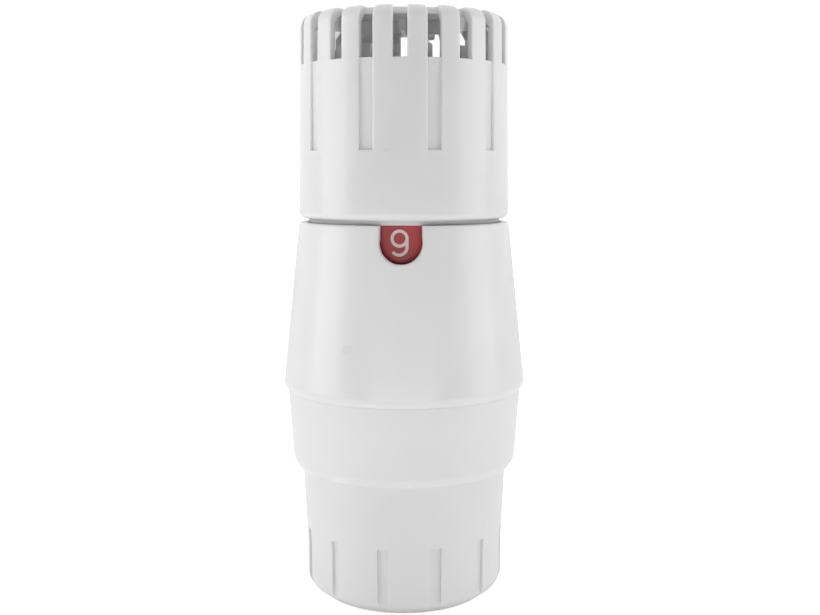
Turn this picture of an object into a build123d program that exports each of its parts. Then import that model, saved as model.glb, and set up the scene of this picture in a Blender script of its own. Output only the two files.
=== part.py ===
from build123d import *
import os
from math import cos, radians, sin

# Thermostatic radiator sensor head, standing on its union nut with the vented cap up.
# Millimetres, +Z along the axis away from the valve, origin at the middle of the bottom.
# The front, with the setting window, looks along -Y.

# Driving heights, from the bottom up
nut_height = 24.8
sleeve_gap = 0.3
sleeve_height = 14.8
shell_height = 32.1
cap_gap = 0.7
cap_height = 37.7

# Union nut
nut_radius = 19.05
nut_top_radius = 19.75
nut_straight_top = 10.3
nut_foot_radius = 15.9
nut_foot_round = 0.8
nut_foot_inner_radius = 15.3
nut_edge_height = 2.3
nut_edge_round = 3.2
nut_lip_height = 1.2
nut_cover_bore_radius = 15.0
grip_flutes = 12
flute_width = 1.9
flute_depth = 0.5
flute_top = 13.0
flute_first_angle = -72.0

# M30 x 1.5 thread in the nut's insert
thread_minor_radius = 14.19
thread_major_radius = 15.0
thread_chamfer = 0.8
thread_length = 8.4
relief_height = 2.6
insert_radius = 16.5
insert_shoulder_height = 2.5

# Base socket, which the nut pulls against the valve
seat_outer_radius = 12.3
socket_bore_radius = 10.2
seat_height = 10.6
socket_collar_radius = 13.6
socket_collar_height = 2.9
guide_web_thickness = 2.0
guide_web_clearance = 0.4
retaining_wire_radius = 0.5
retaining_groove_depth = 0.45
circlip_height = 1.0
circlip_radius = 13.9
circlip_gap = 5.0
wire_ring_gap = 14.0

# Lower sleeve
sleeve_top_inset = 0.75
sleeve_taper = 0.95
sleeve_edge_inset = 0.9
sleeve_edge_height = 1.5
sleeve_edge_round = 1.5
sleeve_wall = 1.6
sleeve_skirt_wall = 1.2
sleeve_floor_thickness = 2.0
sleeve_floor_lift = 0.4
spigot_height = 4.0
spigot_inset = 0.7
spigot_wall = 1.4

# Upper shell
shell_rim_step = 0.05
shell_flare = 3.2
shell_step_inset = 0.15
shell_step_height = 0.9
shell_widest_height = 1.5
shell_wall = 1.5
shell_lead_in = 0.6
shell_rim_round = 0.6
window_width = 7.9
window_depth = 6.8
window_angle = -1.6
tab_width = 1.2
tab_height = 3.4
tab_lift = 0.3

# Inner frame, on which the cap turns
frame_flange_width = 2.8
frame_flange_thickness = 2.0
frame_wall = 1.5
frame_bore_gap = 0.4
frame_rise = 2.7
frame_slots = 3
slot_width = 3.2
slot_end_gap = 0.9
slot_top_below_cap = 12.3
screw_count = 3
screw_circle_inset = 1.3
screw_radius = 0.9
screw_head_radius = 1.4
screw_head_height = 1.2
screw_reach = 1.6
screw_hole_spare = 0.2
stop_arc = 43.0
stop_slack = 2.0
stop_height = 1.6
stop_angle = 60.0

# Vented cap
cap_draft = 0.5
cap_wall = 1.7
cap_edge_round = 1.3
crown_round = 2.5
crown_windows = 20
crown_window_width = 2.5
crown_window_height = 9.25
crown_window_angle = -2.0
roof_shoulder = 1.45
bar_inner_radius = 14.0
bar_proud = 0.5
roof_thickness = 1.1
roof_ribs = 5
roof_rib_width = 1.2
roof_rib_depth = 2.0
roof_rib_inner = 2.0
roof_rib_outer = 9.0
roof_boss_radius = 3.0
groove_height = 15.85
groove_depth = 0.25
cover_disc_radius = 11.0
cover_disc_round = 0.3
cover_disc_lip = 1.2
dial_ledge_height = 4.2
dial_ledge_thickness = 1.0
dial_ledge_width = 1.1
hub_ledge_height = 20.7
hub_ledge_thickness = 1.5
hub_ledge_width = 1.7

# Dial ring with its scale
dial_wall = 1.2
dial_frame_gap = 0.75
dial_lip_height = 1.0
dial_depth_below_cap = 11.1
numeral_height = 4.8
numeral_width = 3.2
numeral_stroke = 0.55
numeral_relief = 0.12
numeral_drop = 3.1
numeral_angle = -2.5
full_setting = 6
setting_step = 45.0

# Spindle nut, which drives the sensor carrier up and down
spindle_wall = 2.0
spindle_height = 16.0
spindle_flange_thickness = 1.6

# Sensor carrier, sensor and push pin
carrier_wall = 1.5
carrier_travel = 3.6
carrier_floor_thickness = 2.5
carrier_bottom_gap = 0.9
carrier_above_hub = 5.0
key_width = 3.0
key_height = 10.0
key_top_in_slot = 1.0
ledge_bore_radius = 9.5
ledge_thickness = 2.0
ledge_height = 24.0
cage_post_count = 10
cage_post_width = 2.6
cage_ring_height = 1.6
cage_height = 5.7
cage_wall = 1.7
sensor_radius = 11.6
sensor_wall = 0.6
sensor_flange_width = 0.8
sensor_side_gap = 0.4
sensor_flange_height = 1.0
sensor_plate_thickness = 2.0
sensor_length = 34.5
sensor_dome_round = 3.0
sensor_float = 1.5
fill_stub_radius = 1.2
fill_stub_height = 1.6
bellows_radius = 8.6
bellows_inner_radius = 6.6
bellows_wall = 0.35
bellows_crown = 1.0
bellows_neck = 1.0
bellows_folds = 9
bellows_length = 27.0
overtravel_wire_radius = 0.3
overtravel_turns = 7
overtravel_length = 17.0
retainer_height = 1.4
retainer_depth = 0.5
pin_radius = 2.5
piston_radius = 5.0
piston_wall = 1.2
piston_crown = 2.0
collar_radius = 7.0
collar_thickness = 2.0
collar_round = 0.5
foot_radius = 5.0
foot_height = 1.6
foot_hole_depth = 0.8
return_spring_radius = 4.6
return_wire_radius = 0.5
return_turns = 6
return_spring_length = 13.5
valve_open_height = 15.4

# Clearances
running_fit = 0.05
slide_fit = 0.1
loose_fit = 0.3
press_gap = 0.1

# How far solids of one piece run into each other, and how far a cut runs past a face
blend_depth = 0.5
cut_reach = 1.0

# Small rings that grip the frame
snap_wire_radius = 0.45
snap_groove_depth = 0.3
snap_below_cap = 9.1
friction_wire_radius = 0.55
friction_groove_depth = 0.5
friction_below_cap = 5.0

# Heights that follow from the sizes above
front = -90.0
sleeve_bottom = nut_height + sleeve_gap
shell_bottom = sleeve_bottom + sleeve_height
shell_top = shell_bottom + shell_height
cap_bottom = shell_top + cap_gap
cap_top = cap_bottom + cap_height
seat_level = seat_height
foot_bottom = seat_level + valve_open_height
foot_top = foot_bottom + foot_height
floor_bottom = sleeve_bottom + sleeve_floor_lift
floor_top = floor_bottom + sleeve_floor_thickness
insert_bottom = nut_lip_height
thread_bottom = insert_bottom + thread_chamfer
thread_top = thread_bottom + thread_length
shoulder_bottom = thread_top + relief_height
insert_top = shoulder_bottom + insert_shoulder_height
web_bottom = foot_top + sensor_float + guide_web_clearance
socket_top = web_bottom + guide_web_thickness
frame_top = cap_bottom + frame_rise
slot_top = cap_bottom - slot_top_below_cap
slot_height = key_height + carrier_travel + key_top_in_slot + slot_end_gap
dial_bottom = cap_bottom - dial_depth_below_cap
dial_top = cap_bottom + dial_ledge_height
hub_ledge_bottom = cap_bottom + hub_ledge_height
spindle_bottom = hub_ledge_bottom - spindle_height
roof_bottom = cap_top - bar_proud - roof_thickness
roof_top = cap_top - bar_proud
carrier_bottom = socket_top + carrier_travel + carrier_bottom_gap
carrier_floor_top = carrier_bottom + carrier_floor_thickness
carrier_top = hub_ledge_bottom + carrier_above_hub
ledge_bottom = carrier_bottom + ledge_height
ledge_top = ledge_bottom + ledge_thickness
plate_top = ledge_top + sensor_plate_thickness
sensor_top = plate_top + sensor_length + sensor_flange_height
retainer_bottom = plate_top + sensor_flange_height + overtravel_length
collar_bottom = carrier_floor_top + return_spring_length
bellows_top = plate_top + bellows_length

# Radii that follow from the sizes above
sensor_flange_radius = sensor_radius + sensor_flange_width
carrier_inner_radius = sensor_flange_radius + sensor_side_gap
carrier_radius = carrier_inner_radius + carrier_wall
spindle_bore_radius = carrier_radius + slide_fit
spindle_radius = spindle_bore_radius + spindle_wall
frame_bore_radius = carrier_radius + frame_bore_gap
frame_radius = frame_bore_radius + frame_wall
frame_flange_radius = frame_radius + frame_flange_width
screw_circle_radius = frame_flange_radius - screw_circle_inset
dial_inner_radius = frame_radius + dial_frame_gap
dial_radius = dial_inner_radius + dial_wall
cap_inner_radius = dial_radius + press_gap
cap_radius = cap_inner_radius + cap_wall
cap_top_radius = cap_radius - cap_draft
groove_floor_radius = cap_top_radius - groove_depth
roof_radius = cap_inner_radius - roof_shoulder
shell_top_radius = cap_radius + shell_rim_step
shell_widest_radius = shell_top_radius + shell_flare
shell_step_radius = shell_widest_radius - shell_step_inset
sleeve_top_radius = shell_widest_radius - sleeve_top_inset
sleeve_edge_radius = sleeve_top_radius - sleeve_taper
sleeve_bottom_radius = sleeve_edge_radius - sleeve_edge_inset
spigot_radius = sleeve_top_radius - spigot_inset
spigot_inner_radius = spigot_radius - spigot_wall


def turned(outline, rounds=()):
    """A solid of revolution about Z; rounds lists (radius, height, round) for corners."""
    face = make_face(Polyline(*[(r, 0, z) for r, z in outline], close=True)).face()
    for r, z, size in rounds:
        corner = face.vertices().sort_by_distance(Vector(r, 0, z))[0]
        face = face.fillet_2d(size, [corner])
    return revolve(face, Axis.Z)


def tube(inner, outer, low, high):
    """A plain ring between two radii and two heights."""
    return turned([(inner, low), (outer, low), (outer, high), (inner, high)])


def disc(radius, low, high):
    """A plain round plate or rod."""
    return Pos(0, 0, low) * Cylinder(radius, high - low, align=(Align.CENTER, Align.CENTER, Align.MIN))


def radial_block(angle, inner, outer, width, low, high):
    """A block that runs radially at an angle about Z, measured from +X."""
    length = outer - inner
    block = Box(length, width, high - low, align=(Align.MIN, Align.CENTER, Align.MIN))
    return Rot(0, 0, angle) * Pos(inner, 0, low) * block


def arc_block(inner, outer, start, sweep, low, high):
    """Part of a ring, from a start angle through a sweep."""
    outline = [(inner, low), (outer, low), (outer, high), (inner, high)]
    face = make_face(Polyline(*[(r, 0, z) for r, z in outline], close=True))
    return Rot(0, 0, start) * revolve(face, Axis.Z, sweep)


def wire_ring(radius, wire, height, gap_angle, turn):
    """A round-wire snap ring with a gap in it."""
    section = Plane.XZ * Pos(radius, height) * Circle(wire)
    ring = revolve(section, Axis.Z, 360 - gap_angle)
    return Rot(0, 0, turn) * ring


def coil(radius, wire, low, high, turns):
    """A helical spring between two flat faces, clear of both."""
    start = low + wire + press_gap / 2
    length = high - low - 2 * wire - press_gap
    path = Helix(pitch=length / turns, height=length, radius=radius)
    section = Plane(origin=path @ 0, z_dir=path % 0) * Circle(wire)
    return Pos(0, 0, start) * sweep(section, path, is_frenet=True)


def nut_cover():
    """Plastic grip over the union nut, with square-cut flutes."""
    outline = [
        (nut_foot_inner_radius, 0),
        (nut_foot_radius, 0),
        (nut_radius, nut_edge_height),
        (nut_radius, nut_straight_top),
        (nut_top_radius, nut_height),
        (nut_cover_bore_radius, nut_height),
        (nut_cover_bore_radius, insert_top),
        (insert_radius, insert_top),
        (insert_radius, insert_bottom),
        (nut_foot_inner_radius, insert_bottom),
    ]
    rounds = [(nut_radius, nut_edge_height, nut_edge_round), (nut_foot_radius, 0, nut_foot_round)]
    body = turned(outline, rounds)
    for number in range(grip_flutes):
        angle = front + flute_first_angle + number * 360 / grip_flutes
        floor_radius = nut_radius - flute_depth
        outside = nut_top_radius + cut_reach
        body -= radial_block(angle, floor_radius, outside, flute_width, -cut_reach, flute_top)
    return body


def nut_insert():
    """Brass ring with the female thread, pressed into the grip."""
    shoulder_radius = seat_outer_radius + loose_fit
    outline = [
        (thread_major_radius, insert_bottom),
        (insert_radius, insert_bottom),
        (insert_radius, insert_top),
        (shoulder_radius, insert_top),
        (shoulder_radius, shoulder_bottom),
        (thread_major_radius, shoulder_bottom),
        (thread_major_radius, thread_top),
        (thread_minor_radius, thread_top),
        (thread_minor_radius, thread_bottom),
    ]
    return turned(outline)


def base_socket():
    """Tube that seats on the valve, carries the nut and guides the push pin."""
    wire_level = shoulder_bottom - retaining_wire_radius - loose_fit
    groove_radius = seat_outer_radius - retaining_groove_depth
    collar_low = floor_bottom - socket_collar_height
    body = tube(socket_bore_radius, seat_outer_radius, seat_level, socket_top)
    body += tube(seat_outer_radius - blend_depth, socket_collar_radius, collar_low, floor_bottom)
    body += disc(socket_bore_radius + blend_depth, web_bottom, socket_top)
    body -= disc(pin_radius + running_fit, web_bottom - cut_reach, socket_top + cut_reach)
    half_groove = retaining_wire_radius + running_fit
    outside = seat_outer_radius + cut_reach
    body -= tube(groove_radius, outside, wire_level - half_groove, wire_level + half_groove)
    body -= tube(groove_radius, outside, floor_top, floor_top + circlip_height)
    return body


def nut_retaining_ring():
    """Wire ring under the nut's shoulder, sprung into the socket's groove."""
    wire_level = shoulder_bottom - retaining_wire_radius - loose_fit
    groove_radius = seat_outer_radius - retaining_groove_depth
    centre = groove_radius + retaining_wire_radius + running_fit
    return wire_ring(centre, retaining_wire_radius, wire_level, wire_ring_gap, 75)


def base_circlip():
    """Flat circlip that locks the socket to the sleeve's floor."""
    inner = seat_outer_radius - retaining_groove_depth + running_fit
    ring = tube(inner, circlip_radius, floor_top, floor_top + circlip_height)
    low = floor_top - cut_reach
    high = floor_top + circlip_height + cut_reach
    gap = radial_block(115, inner - cut_reach, circlip_radius + cut_reach, circlip_gap, low, high)
    return ring - gap


def lower_sleeve():
    """Outer sleeve between the nut and the shell, with the floor that holds the frame."""
    edge_top = sleeve_bottom + sleeve_edge_height
    wall_at_edge = sleeve_edge_radius - sleeve_wall
    hole_radius = seat_outer_radius + press_gap
    spigot_top = shell_bottom + spigot_height
    outline = [
        (sleeve_bottom_radius, sleeve_bottom),
        (sleeve_edge_radius, edge_top),
        (sleeve_top_radius, shell_bottom),
        (spigot_radius, shell_bottom),
        (spigot_radius, spigot_top),
        (spigot_inner_radius, spigot_top),
        (spigot_inner_radius, shell_bottom - sleeve_wall),
        (wall_at_edge, floor_top),
        (hole_radius, floor_top),
        (hole_radius, floor_bottom),
        (sleeve_bottom_radius - sleeve_skirt_wall, floor_bottom),
        (sleeve_bottom_radius - sleeve_skirt_wall, sleeve_bottom),
    ]
    body = turned(outline, [(sleeve_edge_radius, edge_top, sleeve_edge_round)])
    for number in range(screw_count):
        angle = front + (number + 0.5) * 360 / screw_count
        place = Rot(0, 0, angle) * Pos(screw_circle_radius, 0, 0)
        hole_low = floor_top - screw_reach - screw_hole_spare
        body -= place * disc(screw_radius + running_fit, hole_low, floor_top + cut_reach)
    return body


def upper_shell():
    """Tapered outer shell with the setting window cut into its rim."""
    counterbore = spigot_radius + press_gap
    counterbore_top = shell_bottom + spigot_height + loose_fit
    widest = shell_bottom + shell_widest_height
    inner_top = shell_top_radius - shell_wall
    outline = [
        (counterbore, shell_bottom),
        (sleeve_top_radius, shell_bottom),
        (shell_step_radius, shell_bottom + shell_step_height),
        (shell_widest_radius, widest),
        (shell_top_radius, shell_top),
        (inner_top, shell_top),
        (counterbore - shell_lead_in, counterbore_top),
        (counterbore, counterbore_top - press_gap),
    ]
    body = turned(outline, [(shell_top_radius, shell_top, shell_rim_round)])
    window_radius = window_width / 2
    window_bottom = shell_top - window_depth
    centre = window_bottom + window_radius
    notch = Pos(0, 0, centre) * Rot(0, 90, 0) * Cylinder(
        window_radius, shell_widest_radius, align=(Align.CENTER, Align.CENTER, Align.MIN)
    )
    slot = Box(
        shell_widest_radius, window_width, window_depth, align=(Align.MIN, Align.CENTER, Align.MIN)
    )
    cutter = notch + Pos(0, 0, centre) * slot
    body -= Rot(0, 0, front + window_angle) * cutter
    pocket_low = shell_bottom + tab_lift
    pocket_high = pocket_low + tab_height
    gap = running_fit
    inside = counterbore - cut_reach
    outside = shell_widest_radius + cut_reach
    body -= radial_block(0, inside, outside, tab_width + 2 * gap, pocket_low - gap, pocket_high + gap)
    return body


def locking_tab():
    """Small catch that holds the shell on the sleeve, seen as a line on one side."""
    low = shell_bottom + tab_lift
    inner = spigot_radius + running_fit
    outside = shell_widest_radius + cut_reach
    block = radial_block(0, inner - cut_reach, outside, tab_width, low, low + tab_height)
    return block & tube(inner, shell_widest_radius - running_fit, low, low + tab_height)


def inner_frame():
    """Fixed tube that carries the cap and keys the sensor carrier against turning."""
    body = tube(frame_bore_radius, frame_radius, floor_top, frame_top)
    flange_top = floor_top + frame_flange_thickness
    body += tube(frame_radius - blend_depth, frame_flange_radius, floor_top, flange_top)
    stop_start = stop_angle - stop_arc / 2
    stop_low = frame_top - blend_depth
    stop_top = frame_top + stop_height
    body += arc_block(frame_bore_radius, frame_radius, stop_start, stop_arc, stop_low, stop_top)
    for number in range(frame_slots):
        angle = front + (number + 0.5) * 360 / frame_slots
        inner = frame_bore_radius - cut_reach
        outer = frame_radius + cut_reach
        body -= radial_block(angle, inner, outer, slot_width, slot_top - slot_height, slot_top)
    for number in range(screw_count):
        angle = front + (number + 0.5) * 360 / screw_count
        place = Rot(0, 0, angle) * Pos(screw_circle_radius, 0, 0)
        body -= place * disc(screw_radius + press_gap, floor_top - cut_reach, flange_top + cut_reach)
    snap_level = cap_bottom - snap_below_cap
    half_snap = snap_wire_radius + running_fit
    outside = frame_radius + cut_reach
    snap_floor = frame_radius - snap_groove_depth
    body -= tube(snap_floor, outside, snap_level - half_snap, snap_level + half_snap)
    friction_level = cap_bottom - friction_below_cap
    half_friction = friction_wire_radius + running_fit
    friction_floor = frame_radius - friction_groove_depth
    body -= tube(friction_floor, outside, friction_level - half_friction, friction_level + half_friction)
    return body


def frame_screws():
    """Screws that hold the frame's flange down on the sleeve's floor."""
    flange_top = floor_top + frame_flange_thickness
    screws = []
    for number in range(screw_count):
        angle = front + (number + 0.5) * 360 / screw_count
        shank = disc(screw_radius, floor_top - screw_reach, flange_top)
        head = disc(screw_head_radius, flange_top, flange_top + screw_head_height)
        recess_low = flange_top + screw_head_height / 2
        recess = disc(screw_head_radius / 2, recess_low, recess_low + screw_head_height)
        screw = shank + head - recess
        screws.append(Rot(0, 0, angle) * Pos(screw_circle_radius, 0, 0) * screw)
    return Compound(children=screws)


def cap_snap_ring():
    """Wire ring above the dial's lip, which keeps the cap from pulling off."""
    centre = frame_radius - snap_groove_depth + snap_wire_radius + running_fit
    return wire_ring(centre, snap_wire_radius, cap_bottom - snap_below_cap, wire_ring_gap, 200)


def friction_ring():
    """Rubber ring that makes the cap stay where it is turned."""
    centre = frame_radius - friction_groove_depth + friction_wire_radius + running_fit / 2
    section = Plane.XZ * Pos(centre, cap_bottom - friction_below_cap) * Circle(friction_wire_radius)
    return revolve(section, Axis.Z)


def crown_cutter(number):
    """Space between two bars of the crown, and the long groove under every second one."""
    angle = front + crown_window_angle + number * 360 / crown_windows
    outside = cap_radius + cut_reach
    above = cap_top + cut_reach
    width = crown_window_width
    sill = cap_top - crown_window_height
    cutter = radial_block(angle, roof_radius, outside, width, sill, above)
    cutter += radial_block(angle, bar_inner_radius - cut_reach, outside, width, roof_top, above)
    if number % 2:
        groove_low = sill - groove_height
        cutter += radial_block(angle, groove_floor_radius, outside, width, groove_low, sill + cut_reach)
    return cutter


def cap():
    """Vented cap that the hand turns, with twenty bars round its crown."""
    dial_ledge_top = dial_top + dial_ledge_thickness
    dial_ledge_radius = cap_inner_radius - dial_ledge_width
    hub_ledge_top = hub_ledge_bottom + hub_ledge_thickness
    hub_ledge_radius = cap_inner_radius - hub_ledge_width
    disc_hole = cover_disc_radius + press_gap
    ledge_hole = cover_disc_radius - cover_disc_lip
    half_roof = (roof_bottom + roof_top) / 2
    outline = [
        (cap_inner_radius, cap_bottom),
        (cap_radius, cap_bottom),
        (cap_top_radius, cap_top),
        (roof_radius, cap_top),
        (bar_inner_radius, roof_top),
        (disc_hole, roof_top),
        (disc_hole, half_roof),
        (ledge_hole, half_roof),
        (ledge_hole, roof_bottom),
        (roof_radius, roof_bottom),
        (cap_inner_radius, roof_bottom - roof_shoulder),
        (cap_inner_radius, hub_ledge_top),
        (hub_ledge_radius, hub_ledge_top),
        (hub_ledge_radius, hub_ledge_bottom),
        (cap_inner_radius, hub_ledge_bottom),
        (cap_inner_radius, dial_ledge_top),
        (dial_ledge_radius, dial_ledge_top),
        (dial_ledge_radius, dial_top),
        (cap_inner_radius, dial_top),
    ]
    rounds = [(cap_radius, cap_bottom, cap_edge_round), (cap_top_radius, cap_top, crown_round)]
    body = turned(outline, rounds)
    for number in range(crown_windows):
        body -= crown_cutter(number)
    return body


def cover_disc():
    """Round plate let into the roof of the cap, with ribs under it."""
    half_roof = (roof_bottom + roof_top) / 2
    outline = [(0, half_roof), (cover_disc_radius, half_roof), (cover_disc_radius, roof_top), (0, roof_top)]
    body = turned(outline, [(cover_disc_radius, roof_top, cover_disc_round)])
    rib_bottom = roof_bottom - roof_rib_depth
    rib_top = roof_top - press_gap
    body += disc(roof_boss_radius, rib_bottom, rib_top)
    for number in range(roof_ribs):
        angle = front + crown_window_angle + number * 360 / roof_ribs
        body += radial_block(angle, roof_rib_inner, roof_rib_outer, roof_rib_width, rib_bottom, rib_top)
    return body


def dial_ring():
    """Scale sleeve under the cap, read through the shell's window."""
    lip_radius = frame_radius + slide_fit + running_fit
    outline = [
        (lip_radius, dial_bottom),
        (dial_radius, dial_bottom),
        (dial_radius, dial_top),
        (dial_inner_radius, dial_top),
        (dial_inner_radius, dial_bottom + dial_lip_height),
        (lip_radius, dial_bottom + dial_lip_height),
    ]
    return turned(outline)


def numeral_lines(digit):
    """Centre lines of one digit, upright, in a box centred on the origin."""
    half_width = (numeral_width - numeral_stroke) / 2
    half_height = (numeral_height - numeral_stroke) / 2
    ring = half_width
    low = -half_height + ring
    high = half_height - ring
    if digit == 0:
        return [
            Line((-ring, low), (-ring, high)),
            ThreePointArc((-ring, high), (0, half_height), (ring, high)),
            Line((ring, high), (ring, low)),
            ThreePointArc((ring, low), (0, -half_height), (-ring, low)),
        ]
    if digit == 1:
        return [
            Line((0, -half_height), (0, half_height)),
            Line((0, half_height), (-half_width * 0.7, half_height * 0.6)),
        ]
    if digit == 2:
        return [
            ThreePointArc((-ring, high), (0, half_height), (ring, high)),
            Line((ring, high), (-half_width, -half_height)),
            Line((-half_width, -half_height), (half_width, -half_height)),
        ]
    if digit == 3:
        bow = half_height / 2
        tip = (-bow * cos(radians(30)), bow + bow * sin(radians(30)))
        return [
            ThreePointArc(tip, (bow, bow), (0, 0)),
            ThreePointArc((0, 0), (bow, -bow), (tip[0], -tip[1])),
        ]
    if digit == 4:
        return [
            Line((half_width * 0.5, -half_height), (half_width * 0.5, half_height)),
            Line((half_width * 0.5, half_height), (-half_width, -half_height * 0.4)),
            Line((-half_width, -half_height * 0.4), (half_width, -half_height * 0.4)),
        ]
    if digit == 5:
        left = -ring * cos(radians(40))
        rise = ring * sin(radians(40))
        return [
            Line((-left, half_height), (left, half_height)),
            Line((left, half_height), (left, low + rise)),
            ThreePointArc((left, low + rise), (ring, low), (left, low - rise)),
        ]
    stem_top = (half_width * 0.8, high + ring * 0.7)
    return [
        ThreePointArc((-ring, low), (0, low + ring), (ring, low)),
        ThreePointArc((ring, low), (0, -half_height), (-ring, low)),
        Line((-ring, low), (-ring, high)),
        ThreePointArc((-ring, high), (0, half_height), stem_top),
    ]


def numeral(digit, angle, level):
    """One raised digit, wrapped on the dial and read with the cap pointing down."""
    plane = Plane(origin=(0, 0, level), x_dir=(0, -1, 0), z_dir=(1, 0, 0))
    band = tube(dial_radius, dial_radius + numeral_relief, dial_bottom, dial_top)
    digit_bar = Part()
    for line in numeral_lines(digit):
        flat = trace(line, numeral_stroke)
        for end in (line @ 0, line @ 1):
            flat += Pos(end.X, end.Y) * Circle(numeral_stroke / 2)
        digit_bar += extrude(plane * flat, dial_radius + cut_reach, dir=(1, 0, 0))
    return Rot(0, 0, angle) * (band & digit_bar)


def dial_numerals():
    """Scale digits from zero to the full setting, one step apart round the dial."""
    level = shell_top - numeral_drop
    digits = []
    for setting in range(full_setting + 1):
        angle = front + numeral_angle + (full_setting - setting) * setting_step
        digits += numeral(setting, angle, level).solids()
    return Compound(children=digits)


def spindle_nut():
    """Threaded hub inside the cap, with the lug that meets the frame's stop."""
    body = tube(spindle_bore_radius, spindle_radius, spindle_bottom, hub_ledge_bottom)
    flange_low = hub_ledge_bottom - spindle_flange_thickness
    body += tube(spindle_radius - blend_depth, cap_inner_radius - press_gap, flange_low, hub_ledge_bottom)
    lug_centre = stop_angle - stop_arc - stop_slack
    lug_low = frame_top + loose_fit
    lug_start = lug_centre - stop_arc / 2
    lug_top = spindle_bottom + blend_depth
    body += arc_block(frame_bore_radius, frame_radius, lug_start, stop_arc, lug_low, lug_top)
    return body


def sensor_carrier():
    """Threaded cup that holds the sensor and slides in the frame."""
    body = tube(carrier_inner_radius, carrier_radius, carrier_bottom, carrier_top)
    inside = carrier_radius - blend_depth
    body += tube(pin_radius + slide_fit, inside, carrier_bottom, carrier_floor_top)
    body += tube(ledge_bore_radius, inside, ledge_bottom, ledge_top)
    key_top = slot_top - key_top_in_slot
    key_low = key_top - key_height
    for number in range(frame_slots):
        angle = front + (number + 0.5) * 360 / frame_slots
        block = radial_block(angle, inside, frame_radius, key_width, key_low, key_top)
        body += block & tube(inside - blend_depth, frame_radius - slide_fit, key_low, key_top)
    groove_radius = carrier_inner_radius + retainer_depth
    inner = carrier_inner_radius - cut_reach
    body -= tube(inner, groove_radius, retainer_bottom, retainer_bottom + retainer_height)
    return body


def spring_retainer():
    """Ring sprung into the carrier, which the overtravel spring pushes against."""
    inner = sensor_radius + loose_fit
    outer = carrier_inner_radius + retainer_depth - running_fit
    return tube(inner, outer, retainer_bottom, retainer_bottom + retainer_height)


def sensor_cage():
    """Open cage over the sensor, seen through the crown's windows."""
    inner = carrier_radius - cage_wall
    ring_top = carrier_top + cage_ring_height
    cage_top = carrier_top + cage_height
    body = tube(inner, carrier_radius, carrier_top, ring_top)
    band = tube(inner, carrier_radius, ring_top - blend_depth, cage_top)
    for number in range(cage_post_count):
        angle = front + crown_window_angle + (number + 0.5) * 360 / cage_post_count
        outside = carrier_radius + cut_reach
        post = radial_block(angle, inner - cut_reach, outside, cage_post_width, carrier_top, cage_top)
        body += band & post
    return body


def sensor_can():
    """Outer can of the liquid sensor, with its rolled flange."""
    flange_top = plate_top + sensor_flange_height
    inner = sensor_radius - sensor_wall
    outline = [
        (inner, plate_top),
        (sensor_flange_radius, plate_top),
        (sensor_flange_radius, flange_top),
        (sensor_radius, flange_top),
        (sensor_radius, sensor_top),
        (0, sensor_top),
        (0, sensor_top - sensor_wall),
        (inner, sensor_top - sensor_wall),
    ]
    inner_round = sensor_dome_round - sensor_wall
    rounds = [(sensor_radius, sensor_top, sensor_dome_round), (inner, sensor_top - sensor_wall, inner_round)]
    return turned(outline, rounds)


def fill_stub():
    """Crimped stub through which the sensor was filled."""
    body = disc(fill_stub_radius, sensor_top, sensor_top + fill_stub_height)
    crimp = Box(2 * fill_stub_radius, fill_stub_radius, fill_stub_height)
    cut_height = sensor_top + fill_stub_height
    body -= Pos(0, fill_stub_radius, cut_height) * crimp
    body -= Pos(0, -fill_stub_radius, cut_height) * crimp
    return body


def sensor_end_plate():
    """Plate that closes the can's lower end and sits on the carrier's ledge."""
    return tube(piston_radius + loose_fit, sensor_flange_radius, ledge_top, plate_top)


def bellows():
    """Corrugated inner bellows, closed at the top, that the liquid squeezes."""
    fold = (bellows_length - bellows_crown - bellows_neck) / bellows_folds
    outer = [(bellows_inner_radius, plate_top)]
    for number in range(bellows_folds):
        level = plate_top + number * fold
        outer.append((bellows_radius, level + fold * 0.3))
        outer.append((bellows_radius, level + fold * 0.7))
        outer.append((bellows_inner_radius, level + fold))
    outer.append((bellows_inner_radius, bellows_top))
    outer.append((0, bellows_top))
    inner = [(r - bellows_wall, z) for r, z in outer[:-2]]
    inner_top = bellows_top - bellows_crown
    inner.append((bellows_inner_radius - bellows_wall, inner_top))
    inner.append((0, inner_top))
    return turned(outer + list(reversed(inner)))


def overtravel_spring():
    """Spring that holds the sensor down and gives way when the valve is shut."""
    middle = (sensor_radius + carrier_inner_radius) / 2
    low = plate_top + sensor_flange_height
    return coil(middle, overtravel_wire_radius, low, retainer_bottom, overtravel_turns)


def push_pin():
    """Rod that carries the sensor's push down to the valve."""
    return disc(pin_radius, foot_bottom + foot_hole_depth, collar_bottom)


def spring_collar():
    """Collar on the pin that the return spring lifts."""
    outline = [
        (0, collar_bottom),
        (collar_radius, collar_bottom),
        (collar_radius, collar_bottom + collar_thickness),
        (0, collar_bottom + collar_thickness),
    ]
    return turned(outline, [(collar_radius, collar_bottom + collar_thickness, collar_round)])


def piston():
    """Hollow piston between the collar and the top of the bellows."""
    low = collar_bottom + collar_thickness
    high = bellows_top - bellows_crown - running_fit
    body = disc(piston_radius, low, high)
    body -= disc(piston_radius - piston_wall, low - cut_reach, high - piston_crown)
    return body


def pin_foot():
    """Wide foot that rests on the valve's own spindle."""
    body = disc(foot_radius, foot_bottom, foot_top)
    body -= disc(pin_radius, foot_bottom + foot_hole_depth, foot_top + cut_reach)
    return body


def return_spring():
    """Spring between the carrier's floor and the collar."""
    return coil(return_spring_radius, return_wire_radius, carrier_floor_top, collar_bottom, return_turns)


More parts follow.
